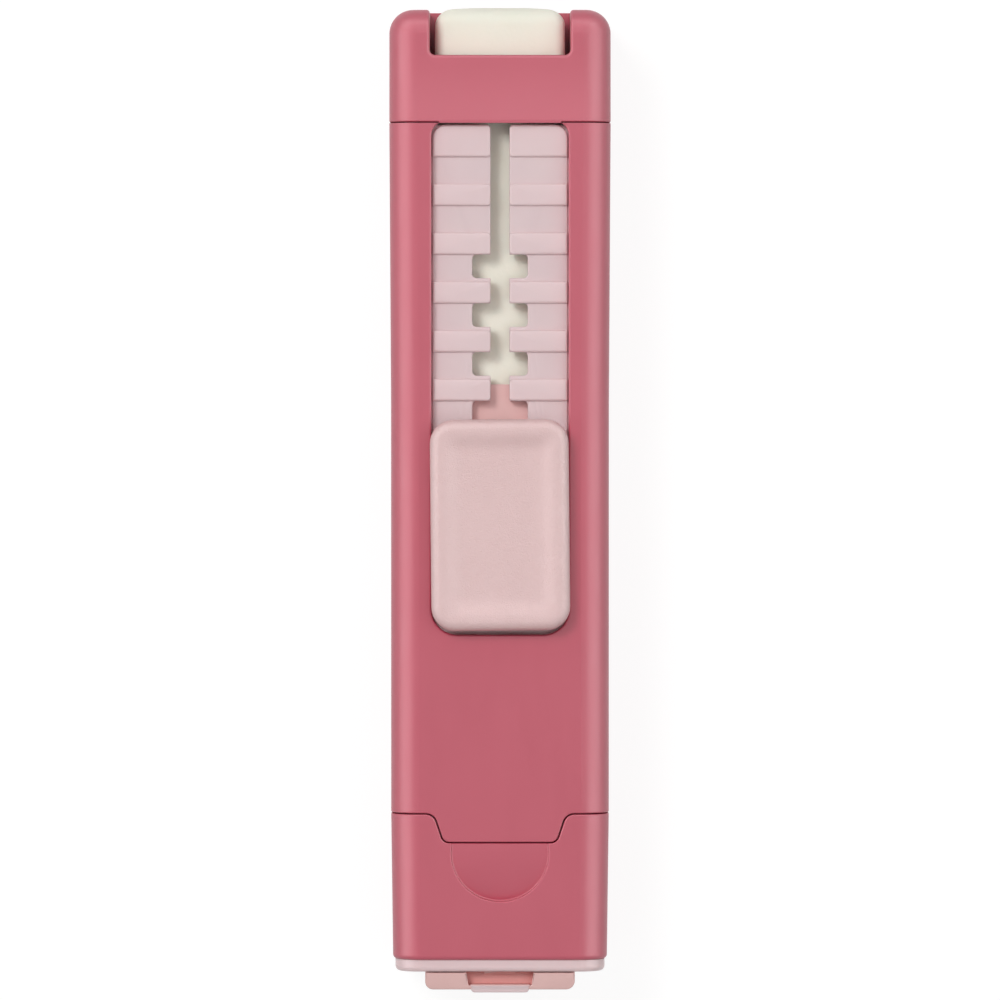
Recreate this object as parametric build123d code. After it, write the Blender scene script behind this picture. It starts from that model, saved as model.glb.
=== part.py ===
from build123d import *
import math
import os

# Pocket eraser stick with a pencil sharpener in its base, lying on its back.
# +X runs across the body, +Y toward the eraser tip and +Z toward the front face.
# The pieces are drawn with Y counted as a station, in millimetres above the door's lip,
# and the whole is then centred on its length, so the origin lies under its middle.

# The eraser and the pencil, which set the width and the thickness of the body around them
eraser_width = 12.0
eraser_side_room = 2.65
entry_radius = 4.0
head_wall = 0.8
head_back_gap = 0.6
chip_room = 2.0

# Outer body
wall = 1.4
body_corner = 2.6
cap_flare = 0.15
foot_taper = 0.175
flare_length = 26.0
seam_edge = 0.12
overrun = 1.0

# Lengths that stack up from the door's lip to the cap
lip_drop = 0.28
door_thickness = 1.55
door_gap = 0.1
plate_thickness = 1.1
bin_side_length = 13.45
seam_gap = 0.1
sleeve_side_length = 63.52
cap_length = 10.35

# Tongue of the sleeve that laps down over the bin, front and back
tongue_length = 2.65
tongue_side = 4.0
tongue_slant = 0.9
tongue_tip_corner = 0.7
tongue_root_corner = 1.1

# Window in the sleeve's front wall
window_margin = 0.3
window_edge = 0.2
window_low_reach = 16.45
window_over_top = 0.15
window_low_corner = 2.35
window_high_corner = 1.3
partition_gap = 2.8
partition_thickness = 1.2

# Rail plate behind the window
rail_flange_gap = 0.05
rail_flange_thickness = 1.1
rail_end_overlap = 1.0
rail_top_gap = 0.15
rail_side_gap = 0.07
land_rise = 0.15
rib_rise = 0.3
lock_pitch = 4.49
lock_count = 7
recess_count = 9
recess_length = 2.48
lock_opening_length = 2.16
lock_opening_width = 5.1
lock_opening_corner = 0.37
slot_width = 1.73
slot_low_reach = 1.3
slot_corner = 0.4

# Eraser
eraser_tip_reach = 0.35
eraser_crown = 0.4
eraser_tip_corner = 1.4
eraser_edge = 0.7

# Carrier that holds the eraser's lower end
carrier_gap = 0.1
carrier_wall = 1.15
carrier_floor = 1.4
jaw_thickness = 0.8
carrier_low_reach = 1.0
carrier_length = 22.0
pocket_depth = 9.1
pocket_gap = 0.1
fin_gap = 0.12
fin_thickness = 1.2
fin_length = 16.0
fin_level_shares = (0.25, 0.75)

# Leaf spring with the nose that locks into the rail
leaf_width = 5.0
leaf_thickness = 0.5
leaf_length = 7.5
leaf_drop = 0.6
leaf_seat_length = 1.7
leaf_room = 1.9
leaf_side_gap = 0.7
nose_from_tip = 1.7
nose_side_gap = 0.1
nose_engagement = 0.8

# Slider button and its stem
press_travel = 0.85
press_margin = 0.05
button_overlap = 0.075
button_length = 19.4
button_corner = 2.2
button_thickness = 1.5
button_low_gap = 0.45
button_edge = 0.8
plunger_inset = 0.28
plunger_height = 1.1
plunger_wall = 1.1
dish_rim = 1.3
dish_corner = 1.6
dish_slope = 1.8
dish_floor_corner = 1.0
dish_depth = 0.45
stem_width = 1.5
stem_gap = 0.1
stem_tab_height = 1.4
stem_fit = 0.05
foot_plate_width = 4.4
foot_plate_length = 2.8
foot_plate_thickness = 0.5
stem_end_inset = 2.2
boss_wall = 1.2

# Nose cap
crown_radius = 2.2
ramp_drop = 0.6
cap_roof_reach = 3.4
mouth_side_gap = 0.47
mouth_face_gap = 0.4
notch_depth = 4.2
notch_corner = 0.5
notch_edge = 0.3
cap_lip_inset = 0.7
cap_hollow_corner = 0.4
cap_tongue_length = 2.9
cap_tongue_thickness = 0.9
cap_tongue_span = 9.0

# Shavings bin
collar_fit = 0.08
collar_wall = 0.9
collar_corner_share = 0.27
collar_length = 4.5
collar_root = 4.5
bin_low_room = 6.0
foot_edge = 0.4
scoop_radius = 4.5
scoop_below_tip = 1.0
scoop_start_depth = 0.2
scoop_end_depth = 0.85
scoop_floor_blend = 0.12
scoop_edge = 0.1

# Base plate and its door
plate_inset = 0.4
plate_side_inset = 0.22
plate_edge = 0.45
plate_rib_gap = 0.1
plate_rib_height = 2.5
plate_rib_thickness = 1.27
door_side_inset = 2.975
door_back = 0.7
door_front_inset = 0.8
knuckle_width = 7.8
knuckle_gap = 0.1
ear_swing_gap = 0.15
hinge_pin_radius = 0.5
hinge_pin_reach = 1.6
hinge_fit = 0.05
nail_width_top = 6.2
nail_width_bottom = 5.8
nail_depth = 1.3
lip_width = 5.0
lip_thickness = 0.64
lip_reach = 2.4
door_corner = 0.8
door_edge = 0.15
lip_corner = 0.3
latch_width = 3.0
latch_thickness = 0.6
latch_rise = 0.45
latch_gap = 0.2
latch_inset = 1.4

# Sharpener
entry_length = 3.0
cone_half_angle = 11.5
cone_tip_radius = 0.4
plate_hole_gap = 0.3
head_length = 5.0
trunk_side_inset = 0.4
trunk_back_inset = 0.6
trunk_end = 0.5
seat_bite = 0.12
blade_thickness = 0.5
blade_side_inset = 0.05
blade_end_gap = 0.7
blade_edge_overlap = 0.15
blade_bevel = 1.25
blade_start = 0.4
chip_width = 2.6
chip_depth = 3.2
screw_from_back = 2.4
screw_from_start = 8.0
screw_head_radius = 1.7
screw_head_height = 0.9
screw_shank_radius = 0.95
screw_grip = 2.8
screw_fit = 0.03
screw_blade_gap = 0.2
screw_slot_width = 0.4
screw_slot_depth = 0.45

# Widths and cavity sizes
body_width = eraser_width + 2 * (eraser_side_room + wall)
body_thickness = 2 * (entry_radius + head_wall + wall) + head_back_gap + chip_room
cap_width = body_width + 2 * cap_flare
foot_width = body_width - 2 * foot_taper
cavity_width = body_width - 2 * wall
cavity_depth = body_thickness - 2 * wall
cavity_corner = body_corner - wall
window_width = eraser_width + 2 * window_margin
button_width = window_width + 2 * button_overlap
mouth_width = eraser_width + 2 * mouth_side_gap
core_width = eraser_width + 2 * (pocket_gap + carrier_wall)
tongue_root_width = body_width - 2 * tongue_side
tongue_tip_width = tongue_root_width - 2 * tongue_slant
rail_flange_width = cavity_width - 2 * (cavity_corner + rail_flange_gap)
head_width = cavity_width - 2 * (collar_fit + plate_rib_thickness + plate_rib_gap)
trunk_width = head_width - 2 * trunk_side_inset
door_width = foot_width - 2 * door_side_inset
ear_width = (door_width - knuckle_width) / 2 - knuckle_gap

# Levels above the back face
mid_level = body_thickness / 2
inner_back = wall
inner_front = body_thickness - wall
rail_under = inner_front - rail_flange_thickness
land_level = inner_front + land_rise
rib_level = land_level + rib_rise
carrier_back = inner_back + carrier_gap
carrier_front = rail_under - carrier_gap
eraser_back = carrier_back + carrier_floor + pocket_gap
eraser_front = carrier_front - jaw_thickness - pocket_gap
pencil_level = inner_back + head_back_gap + head_wall + entry_radius
leaf_top = carrier_front - leaf_drop
leaf_bottom = leaf_top - leaf_thickness
nose_top = rail_under + nose_engagement
plunger_bottom = rib_level + press_margin + press_travel
plate_under = plunger_bottom + plunger_height
button_top = plate_under + button_thickness
hinge_level = door_back + door_thickness / 2
door_front = body_thickness - door_front_inset

# Stations above the door's lip
door_low = lip_drop
door_high = door_low + door_thickness
hinge_station = door_low + door_thickness / 2
plate_low = door_high + door_gap
plate_high = plate_low + plate_thickness
bin_low = plate_high
bin_high = bin_low + bin_side_length
sleeve_low = bin_high + seam_gap
sleeve_high = sleeve_low + sleeve_side_length
tongue_low = sleeve_low - tongue_length
window_low = sleeve_low + window_low_reach
window_high = sleeve_high + window_over_top
carrier_low = window_low + carrier_low_reach
carrier_high = carrier_low + carrier_length
partition_high = carrier_low - partition_gap
partition_low = partition_high - partition_thickness
rail_low = window_low - rail_end_overlap
rail_high = sleeve_high - rail_top_gap
cap_low = sleeve_high + seam_gap
cap_high = cap_low + cap_length
cap_roof = cap_low + cap_roof_reach
notch_floor = cap_high - notch_depth
eraser_tip = cap_high + eraser_tip_reach
overall_length = eraser_tip
pocket_floor = carrier_high - pocket_depth
leaf_high = pocket_floor - carrier_wall
leaf_low = leaf_high - leaf_length
leaf_seat = leaf_high - leaf_seat_length
first_lock = leaf_low + nose_from_tip
nose_length = lock_opening_length - 2 * nose_side_gap
nose_high = first_lock + nose_length / 2
button_low = window_low + button_low_gap
button_high = button_low + button_length
stem_low = nose_high + stem_gap
stem_foot_high = stem_low + foot_plate_length
stem_high = button_high - stem_end_inset
entry_end = plate_high + entry_length
cone_length = (entry_radius - cone_tip_radius) / math.tan(math.radians(cone_half_angle))
sharpener_high = entry_end + cone_length + trunk_end
blade_length = cone_length - blade_end_gap
blade_width = trunk_width / 2 + blade_edge_overlap - blade_side_inset
seat_level = pencil_level + entry_radius - seat_bite


def bar(width, thickness, corner, low, high):
    """A bar along Y with a rounded section, centred on the body's middle level."""
    section = Plane.XZ * RectangleRounded(width, thickness, corner)
    return Pos(0, high, mid_level) * extrude(section, high - low)


def tapered_bar(low, high, low_width, high_width):
    """A body-thick bar along Y whose width changes evenly from one end to the other."""
    ends = [(low, low_width), (high, high_width)]
    sections = [
        Pos(0, station, mid_level) * (Plane.XZ * RectangleRounded(width, body_thickness, body_corner))
        for station, width in ends
    ]
    return loft(sections, ruled=True)


def block(width, low, high, bottom, top, middle=0):
    """A plain block between two stations and two levels."""
    centre = Pos(middle, (low + high) / 2, (bottom + top) / 2)
    return centre * Box(width, high - low, top - bottom)


def upright(outline, bottom, top):
    """A front-view outline carried from one level up to another."""
    return Pos(0, 0, bottom) * extrude(outline, top - bottom)


def panel(width, low, high, low_corner, high_corner):
    """Front-view rectangle with its own corner radius at each end."""
    face = Pos(0, (low + high) / 2) * Rectangle(width, high - low)
    face = fillet(face.vertices().group_by(Axis.Y)[0], low_corner)
    return fillet(face.vertices().group_by(Axis.Y)[-1], high_corner)


def round_panel(width, length, corner, station):
    """Front-view rounded rectangle about a station on the middle line."""
    return Pos(0, station) * RectangleRounded(width, length, corner)


def rod(radius, low, high):
    """A round rod along Y on the pencil's axis."""
    return Pos(0, (low + high) / 2, pencil_level) * Rot(X=90) * Cylinder(radius, high - low)


def hinge_rod(radius, width):
    """A round rod along X on the door's hinge axis."""
    return Pos(0, hinge_station, hinge_level) * Rot(Y=90) * Cylinder(radius, width)


def above_seam(gap):
    """Front view of all that lies above the wavy seam, opened downward by a gap."""
    wide = body_width
    side = sleeve_low - gap
    tip = tongue_low - gap
    root_half = tongue_root_width / 2 + gap
    tip_half = tongue_tip_width / 2 + gap
    points = [
        (-wide, cap_high),
        (-wide, side),
        (-root_half, side),
        (-tip_half, tip),
        (tip_half, tip),
        (root_half, side),
        (wide, side),
        (wide, cap_high),
    ]
    face = make_face(Polyline(*points, close=True))
    face = fillet(face.vertices().group_by(Axis.Y)[0], tongue_tip_corner + gap)
    roots = face.vertices().filter_by(lambda v: abs(v.X) < wide and v.Y > side - tongue_root_corner)
    return fillet(roots.filter_by(lambda v: abs(v.Y - side) < gap + seam_gap), tongue_root_corner - gap)


def skin_edges(shape, low, high):
    """Edges that lie on the body's outer skin between two stations."""
    side = cavity_width / 2 + wall / 4

    def on_skin(edge):
        middle = edge.center()
        flush = min(abs(middle.Z), abs(middle.Z - body_thickness)) < seam_gap / 2
        within = low - seam_gap / 2 < middle.Y < high + seam_gap / 2
        return within and (flush or abs(middle.X) > side)

    return shape.edges().filter_by(on_skin)


def make_body_sleeve():
    """Long outer sleeve with the window, the inner partition and two tongues."""
    flare_low = sleeve_high - flare_length
    shell = bar(body_width, body_thickness, body_corner, tongue_low, flare_low)
    shell += tapered_bar(flare_low, sleeve_high, body_width, cap_width)
    shell &= upright(above_seam(0), -overrun, body_thickness + overrun)
    shell -= bar(cavity_width, cavity_depth, cavity_corner, partition_high, sleeve_high + overrun)
    shell -= bar(cavity_width, cavity_depth, cavity_corner, tongue_low - overrun, partition_low)
    window = panel(window_width, window_low, window_high, window_low_corner, window_high_corner)
    shell -= upright(window, mid_level, body_thickness + overrun)
    shell = fillet(skin_edges(shell, tongue_low, sleeve_low), seam_edge)
    rim = skin_edges(shell, window_low, sleeve_high - seam_gap)
    rim = rim.filter_by(lambda e: abs(e.center().X) < window_width / 2 + seam_gap)
    return fillet(rim, window_edge)


def make_rail_plate():
    """Ribbed plate behind the window, slotted for the stem and pierced for the lock."""
    land_width = window_width - 2 * rail_side_gap
    land = panel(
        land_width,
        window_low + rail_side_gap,
        rail_high,
        window_low_corner - rail_side_gap,
        window_high_corner - rail_side_gap,
    )
    plate = block(rail_flange_width, rail_low, rail_high, rail_under, inner_front)
    plate += upright(land, inner_front - land_rise, rib_level)
    for number in range(recess_count):
        top = first_lock + lock_opening_length / 2 + number * lock_pitch
        plate -= block(window_width, top - recess_length, top, land_level, rib_level + overrun)
    for number in range(lock_count):
        opening = round_panel(
            lock_opening_width,
            lock_opening_length,
            lock_opening_corner,
            first_lock + number * lock_pitch,
        )
        plate -= upright(opening, rail_under - overrun, rib_level + overrun)
    slot_low = first_lock - slot_low_reach
    plate -= block(slot_width, slot_low, rail_high + overrun, rail_under - overrun, rib_level + overrun)
    mouth_edges = plate.edges().filter_by(Axis.Z).filter_by(
        lambda e: abs(e.center().X) < slot_width and e.center().Y > rail_high - overrun
    )
    return fillet(mouth_edges, slot_corner)


def make_cap_blank():
    """Solid cap whose front face falls in a hollow curve from the seam to the notch."""
    tip_level = body_thickness - ramp_drop
    run = notch_floor - cap_low
    ramp_radius = (run ** 2 + ramp_drop ** 2) / (2 * ramp_drop)
    middle_rise = ramp_radius - math.sqrt(ramp_radius ** 2 - run ** 2 / 4)
    ramp = ThreePointArc(
        (cap_low, body_thickness),
        (cap_low + run / 2, tip_level + middle_rise),
        (notch_floor, tip_level),
    )
    rest = Polyline((notch_floor, tip_level), (cap_high, tip_level), (cap_high, 0), (cap_low, 0))
    foot = Line((cap_low, 0), (cap_low, body_thickness))
    profile = make_face([ramp.edge(), *rest.edges(), foot.edge()])
    solid = Pos(cap_width / 2, 0, 0) * extrude(Plane.YZ * profile, -cap_width)
    long_edges = solid.edges().filter_by(
        lambda e: abs(e.center().Z - mid_level) > mid_level - ramp_drop - seam_gap
        and abs(e.center().X) > cap_width / 2 - seam_gap
        and cap_low + seam_gap < e.center().Y < cap_high - seam_gap
    )
    return fillet(long_edges, body_corner)


def make_nose_cap():
    """Front cap with the eraser's mouth, the finger notch and two side tongues."""
    shell = make_cap_blank()
    shell = fillet(shell.faces().sort_by(Axis.Y)[-1].edges(), crown_radius)
    shell = fillet(shell.faces().sort_by(Axis.Y)[0].edges(), seam_edge)
    hollow_width = cavity_width - 2 * (collar_fit + cap_tongue_thickness)
    shell -= bar(hollow_width, cavity_depth, cap_hollow_corner, cap_low - overrun, cap_roof)
    mouth_back = eraser_back - mouth_face_gap
    mouth_front = eraser_front + mouth_face_gap
    shell -= block(mouth_width, cap_roof - overrun, cap_high + overrun, mouth_back, mouth_front)
    notch = Pos(0, notch_floor + cap_length / 2) * Rectangle(mouth_width, cap_length)
    notch = fillet(notch.vertices().group_by(Axis.Y)[0], notch_corner)
    shell -= upright(notch, mid_level, body_thickness + overrun)
    rim = shell.edges().filter_by(
        lambda e: abs(e.center().X) < mouth_width / 2 + seam_gap
        and abs(e.center().Z - mid_level) > mid_level - ramp_drop - seam_gap
        and e.center().Y > notch_floor - seam_gap
    )
    shell = fillet(rim, notch_edge)
    lip_width = window_width - 2 * cap_lip_inset
    shell += block(lip_width, sleeve_high, cap_low + seam_gap, land_level, body_thickness)
    tongue_middle = (cavity_width - cap_tongue_thickness) / 2 - collar_fit
    for side in (-1, 1):
        shell += block(
            cap_tongue_thickness,
            cap_low - cap_tongue_length,
            cap_low + cap_tongue_length,
            mid_level - cap_tongue_span / 2,
            mid_level + cap_tongue_span / 2,
            side * tongue_middle,
        )
    return shell


def make_eraser():
    """Block eraser with a crowned tip."""
    low = pocket_floor + pocket_gap
    half = eraser_width / 2
    shoulder = eraser_tip - eraser_crown
    sides = Polyline((half, shoulder), (half, low), (-half, low), (-half, shoulder))
    crown = ThreePointArc((-half, shoulder), (0, eraser_tip), (half, shoulder))
    outline = make_face([sides.edges(), crown.edges()])
    outline = fillet(outline.vertices().group_by(Axis.Y)[-1], eraser_tip_corner)
    solid = upright(outline, eraser_back, eraser_front)
    faces = solid.faces().sort_by(Axis.Z)
    rims = faces[0].edges() + faces[-1].edges()
    return fillet(rims.filter_by(lambda e: e.center().Y > low + pocket_depth / 2), eraser_edge)


def make_eraser_carrier():
    """Sliding holder with the eraser's pocket, the spring's pocket and side fins."""
    core = block(core_width, carrier_low, carrier_high, carrier_back, carrier_front)
    pocket_width = eraser_width + 2 * pocket_gap
    core -= block(
        pocket_width,
        pocket_floor,
        carrier_high + overrun,
        eraser_back - pocket_gap,
        eraser_front + pocket_gap,
    )
    room_width = leaf_width + 2 * leaf_side_gap
    room_low = leaf_low - leaf_side_gap
    core -= block(room_width, room_low, leaf_seat, leaf_bottom - leaf_room, carrier_front + overrun)
    core -= block(room_width, room_low, leaf_high, leaf_bottom, carrier_front + overrun)
    fin_width = (cavity_width - core_width) / 2 - fin_gap
    for side in (-1, 1):
        for share in fin_level_shares:
            level = carrier_back + share * (carrier_front - carrier_back)
            core += block(
                fin_width + fin_thickness,
                carrier_low,
                carrier_low + fin_length,
                level - fin_thickness / 2,
                level + fin_thickness / 2,
                side * (core_width + fin_width - fin_thickness) / 2,
            )
    return core


def make_lock_spring():
    """Leaf spring on the carrier, with the nose that stands in a lock opening."""
    leaf = block(leaf_width, leaf_low, leaf_high, leaf_bottom, leaf_top)
    nose_width = lock_opening_width - 2 * nose_side_gap
    nose_low = first_lock - nose_length / 2
    return leaf + block(nose_width, nose_low, nose_high, leaf_top - leaf_thickness / 2, nose_top)


def make_slider_button():
    """Thumb button with a dished face, hollow below around the stem's socket."""
    station = (button_low + button_high) / 2
    cover = upright(round_panel(button_width, button_length, button_corner, station), plate_under, button_top)
    cover = fillet(cover.faces().sort_by(Axis.Z)[-1].edges(), button_edge)
    plunger_width = button_width - 2 * plunger_inset
    plunger_length = button_length - 2 * plunger_inset
    plunger_corner = button_corner - plunger_inset
    plunger = round_panel(plunger_width, plunger_length, plunger_corner, station)
    cover += upright(plunger, plunger_bottom, plate_under + button_edge)
    room = round_panel(
        plunger_width - 2 * plunger_wall,
        plunger_length - 2 * plunger_wall,
        plunger_corner - plunger_wall,
        station,
    )
    cover -= upright(room, plunger_bottom - overrun, plate_under)
    boss_width = stem_width + 2 * boss_wall
    cover += block(
        boss_width,
        stem_low - boss_wall,
        stem_high + boss_wall,
        plunger_bottom,
        plate_under + button_edge,
    )
    cover -= block(
        stem_width + 2 * stem_fit,
        stem_low - stem_fit,
        stem_high + stem_fit,
        plunger_bottom - overrun,
        plunger_bottom + stem_tab_height + stem_fit,
    )
    dish_width = button_width - 2 * dish_rim
    dish_length = button_length - 2 * dish_rim
    rim = Pos(0, 0, button_top) * round_panel(dish_width, dish_length, dish_corner, station)
    floor = Pos(0, 0, button_top - dish_depth) * round_panel(
        dish_width - 2 * dish_slope,
        dish_length - 2 * dish_slope,
        dish_floor_corner,
        station,
    )
    return cover - loft([floor, rim], ruled=True)


def make_button_stem():
    """Narrow stem through the rail's slot, with a foot that keeps the button in."""
    tab_top = plunger_bottom + stem_tab_height
    foot_top = rail_under - stem_gap
    foot_bottom = foot_top - foot_plate_thickness
    stem = block(stem_width, stem_low, stem_foot_high, foot_bottom, tab_top)
    stem += block(foot_plate_width, stem_low, stem_foot_high, foot_bottom, foot_top)
    fin_bottom = carrier_front + press_travel + stem_gap
    return stem + block(stem_width, stem_low, stem_high, fin_bottom, tab_top)


def make_scoop_cutter():
    """Round nail catch in the front face, its floor curving down to a steep lower wall."""
    run = scoop_radius + scoop_below_tip
    fall = scoop_end_depth - scoop_start_depth
    hill_radius = (run ** 2 + fall ** 2) / (2 * fall)
    outline = Pos(0, tongue_low - scoop_below_tip) * Circle(scoop_radius)
    pocket = upright(outline, body_thickness - scoop_end_depth - overrun, body_thickness + overrun)
    hill_top = body_thickness - scoop_start_depth
    pocket -= Pos(0, tongue_low, hill_top - hill_radius) * Rot(Y=90) * Cylinder(hill_radius, body_width)
    return fillet(pocket.faces().sort_by(Axis.Z)[0].edges(), scoop_floor_blend)


def make_shavings_bin():
    """Lower shell with a collar that plugs into the sleeve and a nail catch on each face."""
    shell = tapered_bar(bin_low, bin_high, foot_width, body_width)
    shell = fillet(shell.faces().sort_by(Axis.Y)[0].edges(), foot_edge)
    scoop = make_scoop_cutter()
    shell -= scoop
    shell -= Pos(0, 0, body_thickness) * Rot(Y=180) * scoop
    rim = skin_edges(shell, tongue_low - 2 * scoop_radius, bin_high - seam_gap)
    shell = fillet(rim.filter_by(lambda e: abs(e.center().X) < scoop_radius + seam_gap), scoop_edge)
    shell -= upright(above_seam(seam_gap), -overrun, body_thickness + overrun)
    shell = fillet(skin_edges(shell, tongue_low - seam_gap, bin_high), seam_edge)
    collar_width = cavity_width - 2 * collar_fit
    collar_depth = cavity_depth - 2 * collar_fit
    collar_corner = cavity_corner - collar_fit
    shell += bar(collar_width, collar_depth, collar_corner, bin_high - collar_root, bin_high + collar_length)
    shell -= bar(
        collar_width - 2 * collar_wall,
        collar_depth - 2 * collar_wall,
        collar_corner * collar_corner_share,
        bin_low - overrun,
        bin_high + collar_length + overrun,
    )
    return shell - bar(cavity_width, cavity_depth, cavity_corner, bin_low - overrun, bin_low + bin_low_room)


def make_base_plate():
    """Plate that closes the bin, with the pencil hole, side ribs and the hinge ears."""
    plate = bar(
        foot_width - 2 * plate_side_inset,
        body_thickness - 2 * plate_inset,
        body_corner - plate_inset,
        plate_low,
        plate_high,
    )
    plate = fillet(plate.faces().sort_by(Axis.Y)[0].edges(), plate_edge)
    rib_outer = cavity_width / 2 - collar_fit
    for side in (-1, 1):
        plate += block(
            plate_rib_thickness,
            plate_low + plate_thickness / 2,
            plate_high + plate_rib_height,
            inner_back + cavity_corner,
            inner_front - cavity_corner,
            side * (rib_outer - plate_rib_thickness / 2),
        )
    plate -= rod(entry_radius + plate_hole_gap, plate_low - overrun, plate_high + overrun)
    latch_level = door_front - latch_inset
    plate -= block(
        latch_width + 2 * latch_gap,
        plate_low - overrun,
        plate_low + latch_rise + latch_gap - door_gap,
        latch_level - latch_thickness / 2 - latch_gap,
        latch_level + latch_thickness / 2 + latch_gap,
    )
    ear_middle = knuckle_width / 2 + knuckle_gap + ear_width / 2
    for side in (-1, 1):
        ear = block(
            ear_width,
            hinge_station,
            plate_low + plate_thickness / 2,
            hinge_level - door_thickness / 2,
            hinge_level + door_thickness / 2,
        )
        ear += hinge_rod(door_thickness / 2, ear_width)
        plate += Pos(side * ear_middle, 0, 0) * ear
    return plate - hinge_rod(hinge_pin_radius + hinge_fit, knuckle_width + 2 * (knuckle_gap + hinge_pin_reach))


def make_hole_door():
    """Door over the pencil hole, with its knuckle and pins, nail recess, lip and latch."""
    swing = door_thickness / 2 + ear_swing_gap
    leaf = block(door_width, door_low, door_high, hinge_level + swing, door_front)
    leaf = fillet(leaf.edges().filter_by(Axis.Z).group_by(Axis.Y)[0], door_corner)
    leaf = fillet(leaf.faces().sort_by(Axis.Z)[-1].edges(), door_edge)
    leaf += block(knuckle_width, door_low, door_high, hinge_level, hinge_level + 2 * swing)
    leaf += hinge_rod(door_thickness / 2, knuckle_width)
    leaf += hinge_rod(hinge_pin_radius, knuckle_width + 2 * hinge_pin_reach)
    recess_low = lip_thickness
    recess_points = [
        (-nail_width_bottom / 2, recess_low),
        (nail_width_bottom / 2, recess_low),
        (nail_width_top / 2, door_high + overrun),
        (-nail_width_top / 2, door_high + overrun),
    ]
    recess = make_face(Polyline(*recess_points, close=True))
    leaf -= upright(recess, door_front - nail_depth, door_front + overrun)
    lip = block(lip_width, 0, lip_thickness, door_front - lip_reach, door_front)
    leaf += fillet(lip.edges().filter_by(Axis.Z).group_by(Axis.Y)[0], lip_corner)
    latch_level = door_front - latch_inset
    latch_low = door_high - door_gap
    return leaf + block(
        latch_width,
        latch_low,
        latch_low + latch_rise,
        latch_level - latch_thickness / 2,
        latch_level + latch_thickness / 2,
    )


def seat_frame():
    """Place on the blade's seat, which runs along the cone's side and bites into it a little."""
    return Pos(0, entry_end, seat_level) * Rot(X=-cone_half_angle)


def make_sharpener_body():
    """Wedge block with the pencil's entry and cone, the blade's seat and the chip slot."""
    head_back = pencil_level - entry_radius - head_wall
    head_front = pencil_level + entry_radius + head_wall
    block_high = sharpener_high
    solid = block(head_width, plate_high, plate_high + head_length, head_back, head_front)
    solid += block(trunk_width, plate_high, block_high, head_back + trunk_back_inset, head_front)
    above_seat = Box(
        head_width + overrun,
        block_high,
        head_front,
        align=(Align.CENTER, Align.MIN, Align.MIN),
    )
    solid -= seat_frame() * above_seat
    solid -= rod(entry_radius, plate_high - overrun, entry_end)
    cone = Cone(entry_radius, cone_tip_radius, cone_length)
    solid -= Pos(0, entry_end + cone_length / 2, pencil_level) * Rot(X=-90) * cone
    chip_slot = Box(
        chip_width,
        blade_length,
        chip_depth + overrun,
        align=(Align.MIN, Align.MIN, Align.MAX),
    )
    solid -= seat_frame() * Pos(0, blade_start, overrun) * chip_slot
    shank = Cylinder(
        screw_shank_radius + screw_fit,
        screw_grip + screw_fit,
        align=(Align.CENTER, Align.CENTER, Align.MAX),
    )
    return solid - screw_frame() * shank


def screw_frame():
    """Place of the blade's screw on the seat."""
    across = blade_edge_overlap - blade_width + screw_from_back
    return seat_frame() * Pos(across, blade_start + screw_from_start, 0)


def make_sharpener_blade():
    """Flat blade with one bevelled edge along the side of the cone."""
    edge = blade_edge_overlap
    points = [
        (edge, 0),
        (edge - blade_bevel, blade_thickness),
        (edge - blade_width, blade_thickness),
        (edge - blade_width, 0),
    ]
    section = Plane.XZ * make_face(Polyline(*points, close=True))
    blade = Pos(0, blade_start + blade_length, 0) * extrude(section, blade_length)
    hole = Cylinder(screw_shank_radius + screw_blade_gap, 2 * overrun)
    return seat_frame() * blade - screw_frame() * hole


def make_blade_screw():
    """Pan-head screw with a straight slot, through the blade into the body."""
    foot = (Align.CENTER, Align.CENTER, Align.MIN)
    head = Cylinder(screw_head_radius, screw_head_height, align=foot)
    slot = Box(2 * screw_head_radius, screw_slot_width, screw_slot_depth, align=foot)
    head -= Pos(0, 0, screw_head_height - screw_slot_depth) * slot
    shank = Cylinder(screw_shank_radius, screw_grip + blade_thickness, align=foot)
    return screw_frame() * (Pos(0, 0, blade_thickness) * head + Pos(0, 0, -screw_grip) * shank)


PIECES = {
    "body_sleeve": make_body_sleeve,
    "nose_cap": make_nose_cap,
    "rail_plate": make_rail_plate,
    "eraser": make_eraser,
    "eraser_carrier": make_eraser_carrier,
    "lock_spring": make_lock_spring,
    "slider_button": make_slider_button,
    "button_stem": make_button_stem,
    "shavings_bin": make_shavings_bin,
    "base_plate": make_base_plate,
    "hole_door": make_hole_door,
    "sharpener_body": make_sharpener_body,
    "sharpener_blade": make_sharpener_blade,
    "blade_screw": make_blade_screw,
}

os.makedirs("parts", exist_ok=True)
centred = Pos(0, -overall_length / 2, 0)
for name, make in PIECES.items():
    export_step(centred * make(), f"parts/{name}.step")
print("overall length", overall_length, "height", button_top)
print("lock stations", [first_lock + number * lock_pitch for number in range(lock_count)])
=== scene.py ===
# %% [markdown]
# # Pocket eraser stick
# A block eraser comes out of the top end of this stick, pushed by a thumb button, and a
# pencil sharpener sits in its base over a bin for the shavings. It lies on its back and
# is seen from straight above. The solids come from the construction model, so nothing
# here sets a size anew: the lesson dresses them, and replaces the pieces whose moulded
# details are softer than a plain solid can show.

# %% Load the frame
import bpy
import bmesh
import math
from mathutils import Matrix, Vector, noise


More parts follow.
